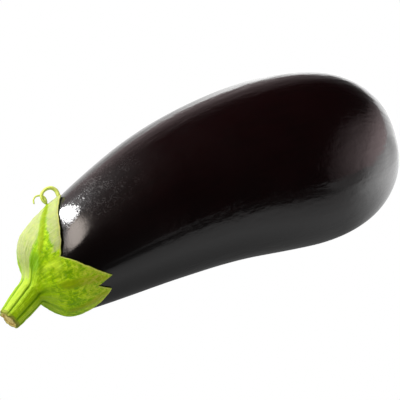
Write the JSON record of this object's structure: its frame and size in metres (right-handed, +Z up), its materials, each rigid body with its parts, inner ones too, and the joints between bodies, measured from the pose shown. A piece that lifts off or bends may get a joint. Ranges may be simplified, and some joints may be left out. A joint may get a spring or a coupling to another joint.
{
  "type": "eggplant",
  "caption": "Eggplant lying on its side: a bent, club-shaped glossy dark purple fruit with a lobed green calyx clasping its neck and a ribbed, cut stem.",
  "frame": {"origin": "on the ground under the middle of the bounding box", "axes": "+Z up, +X along the fruit's length from the stem towards the blossom end, -Y the side that the neck and the stem bend towards"},
  "size_m": [0.2218, 0.0916, 0.0892],
  "materials": {
    "skin": "glossy waxy skin, nearly black purple, smooth with a faint grain",
    "calyx": "satin leafy sheet, saturated green at the stem, paler towards its rim",
    "stem": "satin ribbed stalk, yellow green, with a dry tan cut end"
  },
  "bodies": {
    "root": {"fruit": "skin", "calyx": "calyx", "stem": "stem"}
  },
  "joints": []
}
